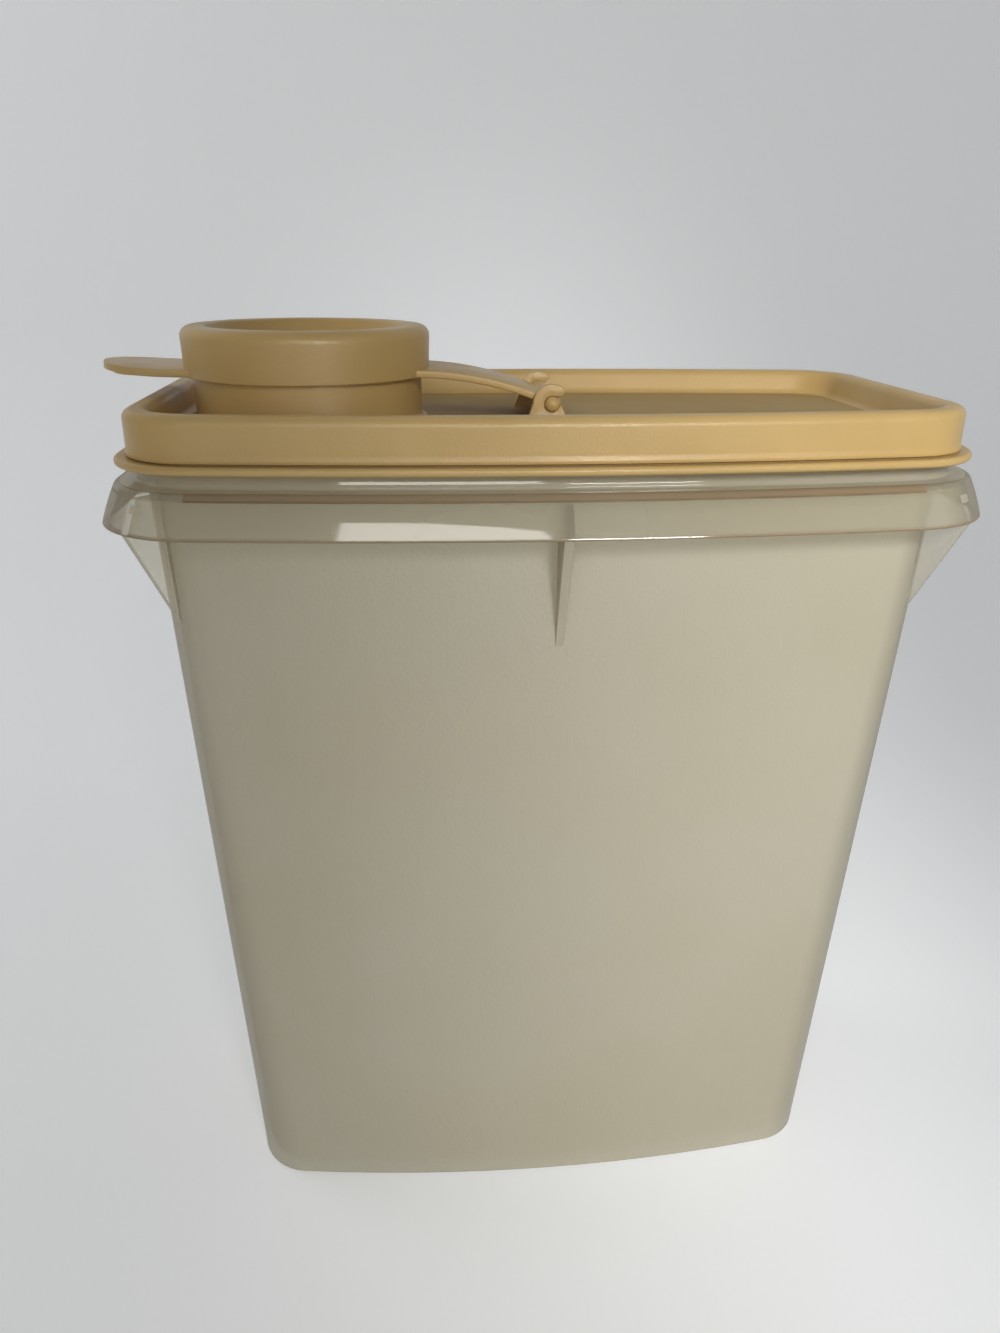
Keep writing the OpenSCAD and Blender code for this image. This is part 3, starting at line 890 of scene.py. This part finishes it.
bpy.ops.object.select_all(action="DESELECT")
bpy.ops.mesh.primitive_plane_add(size=SWEEP_SIZE)
floor = bpy.context.object
floor.name = "pale_sweep"
bpy.ops.object.mode_set(mode="EDIT")
select_points(lambda place: place.y > 0)
bpy.ops.transform.translate(value=(0, WALL_AT - SWEEP_SIZE / 2, 0))
bpy.ops.mesh.extrude_region_move(TRANSFORM_OT_translate={"value": (0, 0, WALL_HEIGHT)})
select_points(lambda place: abs(place.y - WALL_AT / MM) < 1 and place.z < 1)
bpy.ops.mesh.bevel(offset=BEND_R, segments=24, affect="EDGES")
smooth(floor, 60)
floor.data.materials.append(pale_surface("pale_sweep", SWEEP_COLOUR, SWEEP_SEEN))


def place_lamp(name, kind, place, aim, watts):
    """A lamp that points at its aim and isn't seen itself, nor mirrored in the plastic."""
    bpy.ops.object.light_add(type=kind, location=place)
    lamp = bpy.context.object
    lamp.name = name
    lamp.data.energy = watts
    lamp.visible_glossy = lamp.visible_camera = False
    lamp.rotation_euler = (Vector(aim) - Vector(place)).to_track_quat("-Z", "Y").to_euler()
    return lamp


for name, place, width, height, watts in (
    ("fill_front", (-0.2, -1.05, 0.4), 0.9, 0.5, 2.1),
    ("fill_back", (-0.75, 0.4, 0.75), 0.6, 0.6, 2.2),
):
    fill = place_lamp(name, "AREA", place, (0, 0, 0.15), watts)
    fill.data.shape = "RECTANGLE"
    fill.data.size = width
    fill.data.size_y = height
key = place_lamp("key_front", "SPOT", (0.189, -0.706, 0.575), (0.11, -0.05, 0.17), 19)
key.data.spot_size = math.radians(28)
key.data.spot_blend = 1
key.data.shadow_soft_size = 0.1
key.scale = (1, 1.8, 1)

# The collar mirrors a window, and the lid's top rounding a low glint. Both are bright cards in
# front that only reflections see, with outlines in millimetres.
WINDOW = [(-240, 709), (-100, 700), (15, 656), (95, 618), (109, 577), (109, 527), (-240, 527)]
GLINT = [(120, 370), (330, 370), (330, 500), (120, 500)]
DAYLIGHT = (1, 0.98, 0.94, 1)


def mirrored_card(name, outline, distance, strength):
    card = start_piece(name)
    draw_line(outline, hold=math.inf)
    fill_outline()
    bpy.ops.transform.translate(value=(0, -distance * MM, 0))
    take_out(card)
    card.visible_camera = card.visible_diffuse = card.visible_transmission = False
    card.visible_shadow = False
    daylight = new_finish(name)
    daylight.node_tree.nodes.remove(daylight.node_tree.nodes["Principled BSDF"])
    glow = add_node(daylight, "ShaderNodeEmission")
    glow.inputs["Color"].default_value = DAYLIGHT
    glow.inputs["Strength"].default_value = strength
    show(daylight, glow)
    card.data.materials.append(daylight)


mirrored_card("window_cards", WINDOW, 900, 7)
mirrored_card("glint_card", GLINT, 800, 30)

# The room gives a weak even light, and is paler to the camera.
ROOM_COLOUR = (0.96, 0.98, 1, 1)
ROOM_LIGHT = 0.2
ROOM_SEEN = 0.62
world = bpy.data.worlds.new("soft_room")
bpy.context.scene.world = world
world.use_nodes = True
room = world.node_tree.nodes["Background"]
room.inputs["Color"].default_value = ROOM_COLOUR
rays = add_node(world, "ShaderNodeLightPath")
room_strength = spread(world, rays.outputs["Is Camera Ray"], 0, 1, ROOM_LIGHT, ROOM_SEEN)
connect(world, room_strength, room.inputs["Strength"])

CAMERA_AT = (-40.24, -311.73, 303.06)
YAW, PITCH, ROLL = 0.092, 0.388, 0.007
forward = Vector(
    (math.sin(YAW) * math.cos(PITCH), math.cos(YAW) * math.cos(PITCH), -math.sin(PITCH))
)
level = Vector((math.cos(YAW), -math.sin(YAW), 0))
over = level.cross(forward)
right = math.cos(ROLL) * level + math.sin(ROLL) * over
up = math.cos(ROLL) * over - math.sin(ROLL) * level
turned = Matrix((right, up, -forward)).transposed().to_4x4()
bpy.ops.object.camera_add()
camera = bpy.context.object
camera.name = "camera"
camera.matrix_world = Matrix.Translation(Vector(CAMERA_AT) * MM) @ turned
camera.data.sensor_width = 36
camera.data.lens = 27.03
camera.data.clip_start = 0.01
bpy.context.scene.camera = camera
bpy.context.scene.view_settings.view_transform = "Standard"
